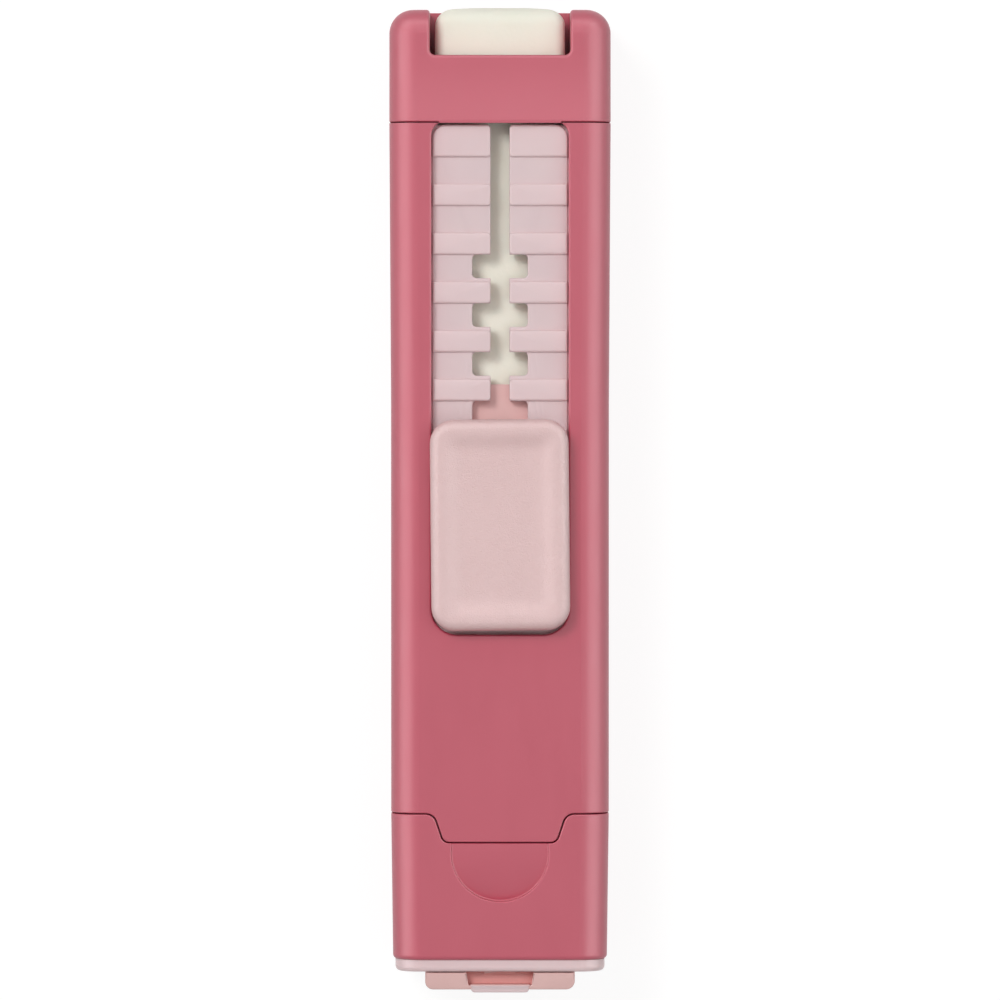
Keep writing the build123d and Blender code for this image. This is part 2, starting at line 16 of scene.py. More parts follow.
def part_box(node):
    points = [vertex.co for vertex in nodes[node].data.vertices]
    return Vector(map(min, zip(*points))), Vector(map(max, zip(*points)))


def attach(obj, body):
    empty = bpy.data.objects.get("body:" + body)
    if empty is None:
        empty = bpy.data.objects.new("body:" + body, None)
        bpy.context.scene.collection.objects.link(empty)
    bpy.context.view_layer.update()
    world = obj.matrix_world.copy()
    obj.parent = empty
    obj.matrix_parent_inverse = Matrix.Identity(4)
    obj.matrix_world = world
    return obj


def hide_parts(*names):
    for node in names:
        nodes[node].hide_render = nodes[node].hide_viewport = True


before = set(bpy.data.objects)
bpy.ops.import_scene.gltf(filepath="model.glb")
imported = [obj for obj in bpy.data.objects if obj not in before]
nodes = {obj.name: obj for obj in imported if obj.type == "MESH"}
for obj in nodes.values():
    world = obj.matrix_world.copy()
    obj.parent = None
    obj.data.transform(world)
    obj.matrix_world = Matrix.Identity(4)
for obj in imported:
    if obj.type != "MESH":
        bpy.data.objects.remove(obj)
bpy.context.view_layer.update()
print("pieces of the frame:", ", ".join(sorted(nodes)))

# %% [markdown]
# ## Units and colours
# Lengths of a moulded product are easier to read in millimetres, and Blender works in
# metres. Colours are easier to name as a screen shows them, and a shader wants linear
# light. Two short helpers turn one into the other, so every later cell stays readable.

# %% Units and colours
MM = 0.001


def screen(red, green, blue):
    """Linear colour of a tone given in screen values from 0 to 255."""
    shares = [value / 255 for value in (red, green, blue)]
    linear = [s / 12.92 if s <= 0.04045 else ((s + 0.055) / 1.055) ** 2.4 for s in shares]
    return (*linear, 1.0)


print("shell red as linear light:", [round(v, 3) for v in screen(190, 80, 101)])

# %% [markdown]
# ## Camera
# The photograph looks straight down on the front face from far away, with the eraser's
# tip at the top. A long lens at some 0.77 m gives the same mild perspective. The stick's
# lower side walls show as thin bands under the button and under the base, so the camera
# stands a little nearer to the eraser's end than to the middle, and looks at the middle.

# %% Camera
CAMERA_PLACE = (0, 19.9 * MM, 782 * MM)
CAMERA_AIM = (0, -0.01 * MM, 15 * MM)
camera_data = bpy.data.cameras.new("camera")
camera_data.sensor_width = 36
camera_data.lens = 300.4
camera = bpy.data.objects.new("camera", camera_data)
bpy.context.scene.collection.objects.link(camera)
bpy.context.scene.camera = camera
camera.location = CAMERA_PLACE
sight = Vector(CAMERA_AIM) - camera.location
camera.rotation_euler = (math.atan2(sight.y, -sight.z), 0, 0)
print("camera to the front face in mm:", round(sight.length / MM, 1))

# %% [markdown]
# ## Floor
# A product photographed on white needs a floor that looks white to the camera and still
# takes the object's soft shadow. Raising the lamps until the floor burns out would
# bleach the object too. So the floor is a plain pale surface with some white glow that
# only camera, glossy and transmission rays see. It lies a hair below the stick, because
# two faces in one plane would flicker when they are seen from below.

# %% Floor
def seen_directly(tree):
    """A factor of 1 for rays that look straight at a surface or mirror it."""
    path = tree.nodes.new("ShaderNodeLightPath")
    most = path.outputs["Is Camera Ray"]
    for name in ("Is Glossy Ray", "Is Transmission Ray"):
        both = tree.nodes.new("ShaderNodeMath")
        both.operation = "MAXIMUM"
        tree.links.new(most, both.inputs[0])
        tree.links.new(path.outputs[name], both.inputs[1])
        most = both.outputs[0]
    return most


def white_stage(name, surface_tone, glow_share, glow_strength):
    """Material of the floor: a matt surface and a white glow for direct looks."""
    material = bpy.data.materials.new(name)
    material.use_nodes = True
    tree = material.node_tree
    tree.nodes.clear()
    matt = tree.nodes.new("ShaderNodeBsdfDiffuse")
    matt.inputs["Color"].default_value = screen(*surface_tone)
    glow = tree.nodes.new("ShaderNodeEmission")
    glow.inputs["Strength"].default_value = glow_strength
    share = tree.nodes.new("ShaderNodeMath")
    share.operation = "MULTIPLY"
    share.inputs[1].default_value = glow_share
    tree.links.new(seen_directly(tree), share.inputs[0])
    mix = tree.nodes.new("ShaderNodeMixShader")
    tree.links.new(share.outputs[0], mix.inputs["Fac"])
    tree.links.new(matt.outputs[0], mix.inputs[1])
    tree.links.new(glow.outputs[0], mix.inputs[2])
    out = tree.nodes.new("ShaderNodeOutputMaterial")
    tree.links.new(mix.outputs[0], out.inputs["Surface"])
    return material


FLOOR_HALF = 3  # metres
FLOOR_LEVEL = -0.05 * MM
floor_corners = [(-FLOOR_HALF, -FLOOR_HALF), (FLOOR_HALF, -FLOOR_HALF),
                 (FLOOR_HALF, FLOOR_HALF), (-FLOOR_HALF, FLOOR_HALF)]
floor_mesh = bpy.data.meshes.new("floor")
floor_mesh.from_pydata([(x, y, FLOOR_LEVEL) for x, y in floor_corners], [], [(0, 1, 2, 3)])
floor = bpy.data.objects.new("floor", floor_mesh)
bpy.context.scene.collection.objects.link(floor)
floor_mesh.materials.append(white_stage("white_floor", surface_tone=(236, 235, 234),
                                        glow_share=0.8, glow_strength=1.1))
print("floor level in mm:", round(FLOOR_LEVEL / MM, 2))

# %% [markdown]
# ## Surroundings
# The surroundings split their light in the same way as the floor. Rays that look at them
# straight or in a mirror find a pale white, and matt surfaces receive less than half as
# much. That keeps the light at a level at which a colour renders about as written.

# %% Surroundings
MATT_LIGHT, DIRECT_LIGHT = 0.36, 0.85
world = bpy.data.worlds.new("surroundings")
bpy.context.scene.world = world
world.use_nodes = True
world_tree = world.node_tree
background = world_tree.nodes["Background"]
level = world_tree.nodes.new("ShaderNodeMapRange")
level.inputs["To Min"].default_value = MATT_LIGHT
level.inputs["To Max"].default_value = DIRECT_LIGHT
world_tree.links.new(seen_directly(world_tree), level.inputs["Value"])
world_tree.links.new(level.outputs["Result"], background.inputs["Strength"])
background.inputs["Color"].default_value = (1, 1, 1, 1)
bpy.context.scene.view_settings.view_transform = "Standard"
print("surroundings light matt surfaces at", MATT_LIGHT)

# %% [markdown]
# ## Lamps
# Two jobs meet here. Soft light from overhead, a little to the right, fills the narrow
# slots and openings. One smaller lamp at the upper left draws the short shadows beside
# the button. The pale bands along both long edges, and the bright corners of the cap,
# are mirror images of softboxes that stand low around the stick. A photographer would
# hold up reflecting cards for them. Cycles can do the same: a lamp may be kept out of
# the matt part of a surface or out of its gloss, so each job can be set by itself. The
# cards stay fairly dim, because a low view along the walls mirrors them strongly and
# would turn white.

# %% Lamps
def softbox(name, place, size, radiance, for_gloss=False):
    """A rectangular lamp that faces the object, for the gloss or for the matt light."""
    data = bpy.data.lights.new(name, "AREA")
    data.shape = "RECTANGLE"
    data.size, data.size_y = size
    data.energy = radiance * math.pi * size[0] * size[1]
    lamp = bpy.data.objects.new(name, data)
    bpy.context.scene.collection.objects.link(lamp)
    lamp.location = place
    lamp.rotation_euler = (-Vector(place)).to_track_quat("-Z", "Y").to_euler()
    lamp.visible_camera = False
    lamp.visible_glossy = for_gloss
    lamp.visible_diffuse = not for_gloss


# name, place, width and height in metres, radiance
softbox("overhead", (0.34, 0.02, 0.84), (0.7, 0.7), 1.05)
softbox("key_lamp", (-0.31, 0.32, 0.77), (0.28, 0.28), 14.8)
softbox("card_left", (-0.5, 0, 0.34), (0.5, 0.62), 2.5, for_gloss=True)
softbox("card_right", (0.5, 0, 0.34), (0.5, 0.62), 2.3, for_gloss=True)
softbox("card_corner_left", (-0.49, 0.52, 0.35), (0.44, 0.44), 3.2, for_gloss=True)
softbox("card_corner_right", (0.49, 0.52, 0.35), (0.44, 0.44), 3.0, for_gloss=True)
softbox("card_tip", (0, 0.66, 0.42), (0.6, 0.34), 2.2, for_gloss=True)
softbox("card_front", (0, 0.32, 0.74), (0.6, 0.34), 1.15, for_gloss=True)

# %% [markdown]
# ## Moulded plastic
# Every plastic piece leaves its mould with an even pigment, a sheen that varies a little
# from place to place, and a very fine grain from the tool's polished steel. All of that
# can come from noise in the piece's own coordinates, so the grain keeps its size and
# moves with the piece. Two short helpers make the noise and stretch its middle range.

# %% Noise for the finishes
NOISE_MIDDLE = (0.3, 0.7)


def noise_layer(tree, coordinates, scale, detail):
    """Soft noise in the piece's own coordinates, with about this many patches per metre."""
    layer = tree.nodes.new("ShaderNodeTexNoise")
    layer.inputs["Scale"].default_value = scale
    layer.inputs["Detail"].default_value = detail
    tree.links.new(coordinates, layer.inputs["Vector"])
    return layer.outputs["Fac"]


def spread(tree, value, low, high):
    """The middle range of a noise, stretched over these values."""
    stretch = tree.nodes.new("ShaderNodeMapRange")
    stretch.inputs["From Min"].default_value = NOISE_MIDDLE[0]
    stretch.inputs["From Max"].default_value = NOISE_MIDDLE[1]
    stretch.inputs["To Min"].default_value = low
    stretch.inputs["To Max"].default_value = high
    tree.links.new(value, stretch.inputs["Value"])
    return stretch.outputs["Result"]


print("the finishes use the noise between", *NOISE_MIDDLE)

# %% [markdown]
# ## One recipe for all plastics
# The sheen's noise is drawn out along the stick, because pockets and fingers rub it
# lengthwise. The gloss is set by the specular level, so the pale bands along the edges
# can be made stronger without changing the roughness. The shells, the rail, the button
# and the eraser also let a little light into their skin, which softens the shadows of
# their ribs and edges.

# %% Moulded plastic
PIGMENT_PATCHES = 130
SHEEN_PATCHES = 900
SHEEN_SPREAD = 0.03
SHEEN_STRETCH = (1, 0.2, 1)  # five times longer along the stick
SKIN_COLOURS = (1.0, 0.8, 0.75)  # how far red, green and blue light reach


def moulded(name, tone, other_tone, roughness, grain, depth,
            gloss=0.5, scatter=0.0, scatter_reach=1.0):
    """Plastic whose tone, sheen and surface vary as they do on a moulded piece."""
    material = bpy.data.materials.new(name)
    material.use_nodes = True
    tree = material.node_tree
    shader = tree.nodes["Principled BSDF"]
    own = tree.nodes.new("ShaderNodeTexCoord").outputs["Object"]
    pigment = tree.nodes.new("ShaderNodeMix")
    pigment.data_type = "RGBA"
    pigment.inputs["A"].default_value = screen(*tone)
    pigment.inputs["B"].default_value = screen(*other_tone)
    patches = spread(tree, noise_layer(tree, own, PIGMENT_PATCHES, 3), 0, 1)
    tree.links.new(patches, pigment.inputs["Factor"])
    tree.links.new(pigment.outputs["Result"], shader.inputs["Base Color"])
    rubbed = tree.nodes.new("ShaderNodeMapping")
    rubbed.inputs["Scale"].default_value = SHEEN_STRETCH
    tree.links.new(own, rubbed.inputs["Vector"])
    sheen = noise_layer(tree, rubbed.outputs["Vector"], SHEEN_PATCHES, 5)
    rough = spread(tree, sheen, roughness - SHEEN_SPREAD, roughness + SHEEN_SPREAD)
    tree.links.new(rough, shader.inputs["Roughness"])
    bump = tree.nodes.new("ShaderNodeBump")
    bump.inputs["Distance"].default_value = depth * MM
    tree.links.new(noise_layer(tree, own, grain, 2), bump.inputs["Height"])
    tree.links.new(bump.outputs["Normal"], shader.inputs["Normal"])
    shader.inputs["Specular IOR Level"].default_value = gloss
    shader.inputs["Subsurface Weight"].default_value = scatter
    shader.inputs["Subsurface Radius"].default_value = SKIN_COLOURS
    shader.inputs["Subsurface Scale"].default_value = scatter_reach * MM
    return material


shell_red = moulded("shell_red", (178, 63, 84), (180, 65, 86), roughness=0.41,
                    grain=5200, depth=0.004, gloss=1.0, scatter=0.15, scatter_reach=0.5)
rail_pink = moulded("rail_pink", (226, 199, 201), (228, 202, 203), roughness=0.34,
                    grain=4200, depth=0.004, scatter=0.25, scatter_reach=1.2)
button_pink = moulded("button_pink", (217, 184, 183), (220, 188, 187), roughness=0.36,
                      grain=8500, depth=0.06, gloss=0.8, scatter=0.15, scatter_reach=0.6)
inner_plastic = moulded("inner_plastic", (214, 184, 184), (217, 188, 187), roughness=0.45,
                        grain=3600, depth=0.006)
# Painted shade: the door takes this darker pink because it lies in the base plate's shadow. Its lip
# takes the base's paler pink instead, as painted light.
door_shaded_pink = moulded("door_shaded_pink", (211, 171, 167), (214, 175, 171), roughness=0.4,
                    grain=4200, depth=0.004)
# Painted shade: the floor of the nail recess takes this darker salmon.
recess_painted_shade = moulded("recess_painted_shade", (216, 152, 148), (220, 158, 153), roughness=0.5,
                        grain=4200, depth=0.01, gloss=0.3)
carrier_salmon = moulded("carrier_salmon", (223, 182, 179), (226, 187, 184), roughness=0.45,
                         grain=3600, depth=0.006)
eraser_vinyl = moulded("eraser_vinyl", (237, 236, 221), (241, 240, 227), roughness=0.7,
                       grain=2600, depth=0.02, gloss=0.4, scatter=0.2, scatter_reach=1.2)
print("materials so far:", [m.name for m in bpy.data.materials])

# %% [markdown]
# ## Sharpener metals
# The wedge inside is cast in a light alloy with a satin skin, and its blade is ground
# steel: bright, with fine scratches along its length.

# %% Sharpener metals
GRAIN_SPREAD = 0.08


def metal(name, tone, roughness, stretch, scale, depth):
    """Bare metal with a grain that is drawn out along one direction."""
    material = bpy.data.materials.new(name)
    material.use_nodes = True
    tree = material.node_tree
    shader = tree.nodes["Principled BSDF"]
    shader.inputs["Metallic"].default_value = 1.0
    shader.inputs["Base Color"].default_value = screen(*tone)
    own = tree.nodes.new("ShaderNodeTexCoord").outputs["Object"]
    drawn = tree.nodes.new("ShaderNodeMapping")
    drawn.inputs["Scale"].default_value = stretch
    tree.links.new(own, drawn.inputs["Vector"])
    grain = noise_layer(tree, drawn.outputs["Vector"], scale, 3)
    rough = spread(tree, grain, roughness - GRAIN_SPREAD, roughness + GRAIN_SPREAD)
    tree.links.new(rough, shader.inputs["Roughness"])
    bump = tree.nodes.new("ShaderNodeBump")
    bump.inputs["Distance"].default_value = depth * MM
    tree.links.new(grain, bump.inputs["Height"])
    tree.links.new(bump.outputs["Normal"], shader.inputs["Normal"])
    return material


cast_alloy = metal("cast_alloy", (196, 196, 199), roughness=0.42, stretch=(1, 1, 1),
                   scale=4200, depth=0.01)
blade_steel = metal("blade_steel", (206, 206, 208), roughness=0.22, stretch=(1, 0.06, 1),
                    scale=5200, depth=0.004)
print("metals:", cast_alloy.name, blade_steel.name)

# %% [markdown]
# ## Outlines with rounded corners
# Most of these mouldings are plates whose front view is a polygon with small rounds at
# its corners. A typed list of corners, each with its own radius, says that shortly. The
# helper puts an arc in every corner, so the same list can feed a curve or a mesh.

# %% Outlines with rounded corners
CENTRE = 45.45  # the frame's origin, counted in millimetres up from the door's lip


def rounded_outline(corners, steps=6):
    """Points round a polygon whose corners are given as x, y and radius."""
    points = []
    for number, (x, y, radius) in enumerate(corners):
        here = Vector((x, y))
        back = (Vector(corners[number - 1][:2]) - here).normalized()
        ahead = (Vector(corners[(number + 1) % len(corners)][:2]) - here).normalized()
        if radius == 0:
            points.append(here)
            continue
        half = back.angle(ahead) / 2
        middle = here + (back + ahead).normalized() * (radius / math.sin(half))
        first = here + back * (radius / math.tan(half)) - middle
        last = here + ahead * (radius / math.tan(half)) - middle
        sweep = math.pi - 2 * half
        for step in range(steps + 1):
            share = step / steps
            spoke = first * math.sin((1 - share) * sweep) + last * math.sin(share * sweep)
            points.append(middle + spoke / math.sin(sweep))
    return points


trial_square = [(0, 0, 1), (9, 0, 1), (9, 9, 1), (0, 9, 1)]
print("points on a rounded square:", len(rounded_outline(trial_square)))

# %% [markdown]
# ## Plates with soft rims
# A moulded plate never has knife edges: each rim has a round of about a tenth of a
# millimetre that catches a thin line of light. Rounding the edges of a mesh afterwards
# is fragile where slots and ribs meet. A flat curve does it by itself, because its
# bevel follows the outline round every corner and slot, so each plate starts as a
# filled curve and is then turned into a mesh.

# %% Plates with soft rims
def soft_plate(outline, bottom, top, rim):
    """Mesh of a plate with this front view between two levels, its rims rounded."""
    curve = bpy.data.curves.new("plate_outline", "CURVE")
    curve.dimensions = "2D"
    curve.fill_mode = "BOTH"
    spline = curve.splines.new("POLY")
    spline.points.add(len(outline) - 1)
    for point, place in zip(spline.points, outline):
        point.co = (place.x * MM, place.y * MM, 0, 1)
    spline.use_cyclic_u = True
    curve.bevel_depth = rim * MM
    curve.bevel_resolution = 3
    curve.offset = -rim * MM
    curve.extrude = ((top - bottom) / 2 - rim) * MM
    holder = bpy.data.objects.new("plate_outline", curve)
    bpy.context.scene.collection.objects.link(holder)
    seen = holder.evaluated_get(bpy.context.evaluated_depsgraph_get())
    mesh = bpy.data.meshes.new_from_object(seen)
    bpy.data.objects.remove(holder)
    bpy.data.curves.remove(curve)
    for vertex in mesh.vertices:
        vertex.co.z += (top + bottom) / 2 * MM
    return mesh


trial_plate = soft_plate(rounded_outline(trial_square), 0, 2, 0.1)
print("faces of a trial plate:", len(trial_plate.polygons))
bpy.data.meshes.remove(trial_plate)

# %% [markdown]
# ## One piece from several meshes
# A moulding that was drawn as plates is still one piece. Its meshes go into one object, whose small
# rounds are shaded smooth and whose corners stay sharp. The same helper puts the piece on its body,
# gives it its finish, and hides the parts of the frame that it replaces.

# %% Joining and placing
MERGE_REACH = 0.0005  # millimetres


def joined(name, meshes, finish, body, *replaced, slot, angle=35):
    """One piece made of several meshes, smooth but for its sharp edges, on its body."""
    builder = bmesh.new()
    for mesh in meshes:
        builder.from_mesh(mesh)
        bpy.data.meshes.remove(mesh)
    bmesh.ops.remove_doubles(builder, verts=builder.verts, dist=MERGE_REACH * MM)
    bmesh.ops.recalc_face_normals(builder, faces=builder.faces)
    data = bpy.data.meshes.new(name)
    builder.to_mesh(data)
    builder.free()
    data.polygons.foreach_set("use_smooth", [True] * len(data.polygons))
    data.set_sharp_from_angle(angle=math.radians(angle))
    data.materials.append(finish)
    piece = bpy.data.objects.new(name, data)
    bpy.context.scene.collection.objects.link(piece)
    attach(piece, body)
    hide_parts(*replaced)
    print(name, "has", len(data.polygons), "faces")
    return piece


print("points nearer than", MERGE_REACH, "mm become one")

# %% [markdown]
# ## Rail plate
# The light plate behind the window carries raised ribs, so that the thumb feels each
# step. A narrow slot for the button's stem runs down its middle and opens into cross
# openings, where the lock's nose stands. The slot could be cut out of a plate with a
# boolean, but its rims would then need rounding afterwards. It is drawn as a part of the
# outline instead, once for its right side and once mirrored for its left.

# %% Slot of the rail plate
LOCK_PITCH = 4.49
LOCK_COUNT = 7
FIRST_LOCK = 39.98 - CENTRE
OPENING_HALF = (2.55, 1.08)
OPENING_CORNER = 0.4
TIGHT_CORNER, TOOTH_CORNER = 0.05, 0.12  # where an opening meets the slot
SLOT_HALF = 0.865
SLOT_MOUTH_CORNER, SLOT_FOOT_CORNER = 0.36, 0.2
SLOT_FOOT = FIRST_LOCK - 1.3
RAIL_LOW, RAIL_HIGH = 32.03 - CENTRE, 79.95 - CENTRE


def slot_side(side):
    """One edge of the slot from its mouth down to its foot, out and in at each opening."""
    edge = [(side * SLOT_HALF, RAIL_HIGH, SLOT_MOUTH_CORNER)]
    for number in reversed(range(LOCK_COUNT)):
        station = FIRST_LOCK + number * LOCK_PITCH
        top, low = station + OPENING_HALF[1], station - OPENING_HALF[1]
        edge += [
            (side * SLOT_HALF, top, TIGHT_CORNER),
            (side * OPENING_HALF[0], top, OPENING_CORNER),
            (side * OPENING_HALF[0], low, OPENING_CORNER),
            (side * SLOT_HALF, low, TOOTH_CORNER if number else TIGHT_CORNER),
        ]
    edge.append((side * SLOT_HALF, SLOT_FOOT, SLOT_FOOT_CORNER))
    return edge


def slotted(half_width, low, low_corner, high_corner):
    """Outline of a plate round the slot, which opens at the upper edge."""
    outer = [
        (-half_width, RAIL_HIGH, high_corner),
        (-half_width, low, low_corner),
        (half_width, low, low_corner),
        (half_width, RAIL_HIGH, high_corner),
    ]
    return rounded_outline(slot_side(-1)[::-1] + outer + slot_side(1))


print("corners along one side of the slot:", len(slot_side(1)))

# %% [markdown]
# ## Layers of the rail plate
# The plate is built in three layers that overlap in depth: a wide flange that lies behind
# the window's edge, the land that fills the window, and one low rib on each side of the
# slot for each step. Every layer is a plate with soft rims, and the overlaps hide where
# one ends and the next begins. The ribs have the widest rims, because their upper edges
# catch the thin lines of light.

# %% Rail plate
FLANGE_LEVELS, FLANGE_RIM = (12.5, 13.6), 0.1
FLANGE_HALF, FLANGE_CORNER = 7.4, 0.1
LAND_LEVELS, LAND_RIM = (13.3, 13.75), 0.12
LAND_HALF, LAND_LOW = 6.23, 33.10 - CENTRE
LAND_LOW_CORNER, LAND_HIGH_CORNER = 2.28, 1.23
RIB_LEVELS, RIB_RIM = (13.5, 14.05), 0.18
RIB_COUNT = 9
RIB_CORNER, RIB_SLOT_CORNER = 0.12, 0.3
RECESS_LENGTH = 2.48

flange = slotted(FLANGE_HALF, RAIL_LOW, FLANGE_CORNER, FLANGE_CORNER)
land = slotted(LAND_HALF, LAND_LOW, LAND_LOW_CORNER, LAND_HIGH_CORNER)
rail_layers = [
    soft_plate(flange, *FLANGE_LEVELS, FLANGE_RIM),
    soft_plate(land, *LAND_LEVELS, LAND_RIM),
]
for number in range(RIB_COUNT):
    low = FIRST_LOCK + OPENING_HALF[1] + number * LOCK_PITCH
    last = number == RIB_COUNT - 1
    high = RAIL_HIGH if last else low + LOCK_PITCH - RECESS_LENGTH
    for side in (-1, 1):
        rib = [
            (side * SLOT_HALF, low, RIB_SLOT_CORNER),
            (side * LAND_HALF, low, RIB_CORNER),
            (side * LAND_HALF, high, LAND_HIGH_CORNER if last else RIB_CORNER),
            (side * SLOT_HALF, high, SLOT_MOUTH_CORNER if last else RIB_SLOT_CORNER),
        ]
        rail_layers.append(soft_plate(rounded_outline(rib), *RIB_LEVELS, RIB_RIM))
joined("rail", rail_layers, rail_pink, "housing", "rail_plate", slot="trim_pink")

# %% [markdown]
# ## Surfaces through rings
# The button and the eraser are soft forms, not plates. Both can be drawn as a stack of
# closed rings with the same number of points, joined by strips of faces. Moving a ring
# in or down shapes the surface there, which is how a turned or a carved form is built.

# %% Surfaces through rings
def ring(width, length, corner, steps=9):
    """Rounded rectangle about the origin, counter-clockwise."""
    points = []
    for turn, (right, up) in enumerate([(1, 1), (-1, 1), (-1, -1), (1, -1)]):
        for step in range(steps + 1):
            angle = math.pi / 2 * (turn + step / steps)
            x = right * (width / 2 - corner) + corner * math.cos(angle)
            y = up * (length / 2 - corner) + corner * math.sin(angle)
            points.append((x, y))
    return points


def skinned(rings):
    """Mesh of a closed surface through rings of points in millimetres."""
    builder = bmesh.new()
    rows = [[builder.verts.new(Vector(point) * MM) for point in row] for row in rings]
    for low, high in zip(rows, rows[1:]):
        for first in range(len(low)):
            second = (first + 1) % len(low)
            builder.faces.new((low[first], low[second], high[second], high[first]))
    builder.faces.new(rows[0][::-1])
    builder.faces.new(rows[-1])
    mesh = bpy.data.meshes.new("skin")
    builder.to_mesh(mesh)
    builder.free()
    return mesh


print("points in a ring:", len(ring(2, 1, 0.2)))

# %% [markdown]
# ## Thumb button
# The button stands proud of the body and is dished for the thumb: a soft outer edge, a
# rim, a slope down to a flat floor, and a plunger below that slides in the window. It is
# drawn as rings from the plunger's foot up over the edge and down into the dish, with
# more rings where the surface turns. It sits loosely in its slot, and here it leans by
# half a degree, as on the real one.

# %% Thumb button
BUTTON_WIDTH, BUTTON_LENGTH, BUTTON_CORNER = 12.75, 19.4, 2.2
DISH_START = 1.4
BUTTON_PROFILE = [  # inset from the outer edge, level
    (0.42, 14.95), (0.30, 15.0), (0.28, 15.1), (0.28, 15.95), (0.24, 16.03), (0.06, 16.06),
    (0.0, 16.16), (0.0, 16.6), (0.02, 16.78), (0.08, 16.98), (0.19, 17.18), (0.34, 17.34),
    (0.52, 17.46), (0.70, 17.53), (0.86, 17.55), (1.1, 17.545), (1.35, 17.52), (1.6, 17.46),
    (1.9, 17.36), (2.2, 17.25), (2.5, 17.165), (2.8, 17.12), (3.15, 17.1), (3.6, 17.095),
]
LEAN = math.radians(0.55)


def button_corner(inset):
    """Corner radius of the ring at this inset. The dish keeps rounder corners than the rim."""
    if inset < DISH_START:
        return max(BUTTON_CORNER - inset, 0.75)
    return max(BUTTON_CORNER - 0.62 * inset, 0.4)


button_low, button_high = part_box("slider_button")
button_middle = (button_low + button_high) / 2 / MM
button_rings = []
for inset, level in BUTTON_PROFILE:
    width, length = BUTTON_WIDTH - 2 * inset, BUTTON_LENGTH - 2 * inset
    outline = ring(width, length, button_corner(inset))
    button_rings.append([(x, y + button_middle.y, level) for x, y in outline])
button = joined("button", [skinned(button_rings)], button_pink, "button", "slider_button",
                slot="trim_pink")
for vertex in button.data.vertices:
    x, y = vertex.co.x, vertex.co.y - button_middle.y * MM
    vertex.co.x = x * math.cos(LEAN) - y * math.sin(LEAN)
    vertex.co.y = x * math.sin(LEAN) + y * math.cos(LEAN) + button_middle.y * MM
print("button level in mm:", round(max(v.co.z for v in button.data.vertices) / MM, 2))

# %% [markdown]
# ## Eraser
# A vinyl eraser is cut from an extruded bar and tumbled, so its edges are soft and its
# end is a little crowned. Its rings run along the bar from the pocket to the tip, draw
# in over the last millimetre and a half, and close over the end.

# %% Rings along the eraser
TIP_ROUND = 1.5
RING_GAP = 2.0
eraser_low, eraser_high = (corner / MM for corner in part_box("eraser"))
tip_rings = [(0.0, -TIP_ROUND)]  # inset from the side, distance from the tip
for step in range(1, 9):
    turn = math.pi / 2 * step / 8
    tip_rings.append((TIP_ROUND * (1 - math.cos(turn)), TIP_ROUND * (math.sin(turn) - 1)))
tip_rings += [(2.2, 0.0), (3.0, 0.0), (3.8, 0.0)]
pocket_rings = [(0.5, 0.0), (0.15, 0.15), (0.0, 0.5)]  # inset, distance from the foot
pocket_rings += [(0.0, RING_GAP * step) for step in range(1, 21)]
eraser_width, eraser_length, eraser_depth = eraser_high - eraser_low
eraser_centre = (eraser_low + eraser_high) / 2
eraser_rings = []
for inset, rise in pocket_rings:
    if rise < eraser_length - 2 * TIP_ROUND:
        eraser_rings.append((inset, eraser_low.y + rise))
eraser_rings += [(inset, eraser_high.y + drop) for inset, drop in tip_rings]
print("rings along the eraser:", len(eraser_rings))

# %% [markdown]
# ## Crown and waves of the eraser
# The tip is crowned from side to side, and that crown fades out over the first four
# millimetres. A slow noise moves the surface by a few hundredths of a millimetre, because
# the soft bar is never quite flat.

# %% Eraser
EDGE_ROUND = 0.95
CROWN, CROWN_FADE = 0.42, 4
WAVE, WAVES_PER_MM = 0.03, 0.45
HALF_WIDTH, HALF_DEPTH = 6, 4  # about half the bar's width and depth
eraser_skin = []
for inset, station in eraser_rings:
    corner = max(EDGE_ROUND - 0.5 * inset, 0.3)
    outline = ring(eraser_width - 2 * inset, eraser_depth - 2 * inset, corner)
    tip_share = max(0.0, 1 - (eraser_high.y - station) / CROWN_FADE)
    row = []
    for x, z in reversed(outline):
        crown = CROWN * tip_share * (x / eraser_width * 2) ** 2
        wave = WAVE * noise.noise(Vector((x, station, z)) * WAVES_PER_MM)
        across, deep = x * (1 - wave / HALF_WIDTH), z * (1 + wave / HALF_DEPTH)
        row.append((across, station - crown, eraser_centre.z + deep))
    eraser_skin.append(row)
eraser = joined("eraser_block", [skinned(eraser_skin)], eraser_vinyl, "eraser_block",
                "eraser", slot="eraser_vinyl", angle=60)
print("eraser reaches", round(max(v.co.y for v in eraser.data.vertices) / MM + CENTRE, 2), "mm")

# %% [markdown]
# ## Door over the pencil hole
# The small door under the base has rounded lower corners, a nail recess in its front and
# a lip that the nail lifts. It is again built from plates: a back layer with the door's
# whole outline, a front layer that leaves the recess open toward the base, and the lip.
# The knuckle at the back turns in the base plate's ears, and the latch holds the door
# shut. Where two layers overlap, one lies a little deeper, because faces in one plane
# would flicker.

# %% Outlines of the door
DOOR_LOW, DOOR_HIGH = 0.28 - CENTRE, 1.83 - CENTRE
DOOR_HALF = 6.9
RECESS_FLOOR = 0.66 - CENTRE
RECESS_MOUTH_HALF, RECESS_FLOOR_HALF = 3.1, 2.9
LIP_LOW, LIP_HIGH = 0.0 - CENTRE, 0.75 - CENTRE
LATCH_LOW, LATCH_HIGH = 1.6 - CENTRE, 2.18 - CENTRE
KNUCKLE_HALF = 3.9
LAYER_STEP = 0.06
KNUCKLE_LOW, KNUCKLE_HIGH = DOOR_LOW + LAYER_STEP, DOOR_HIGH - LAYER_STEP


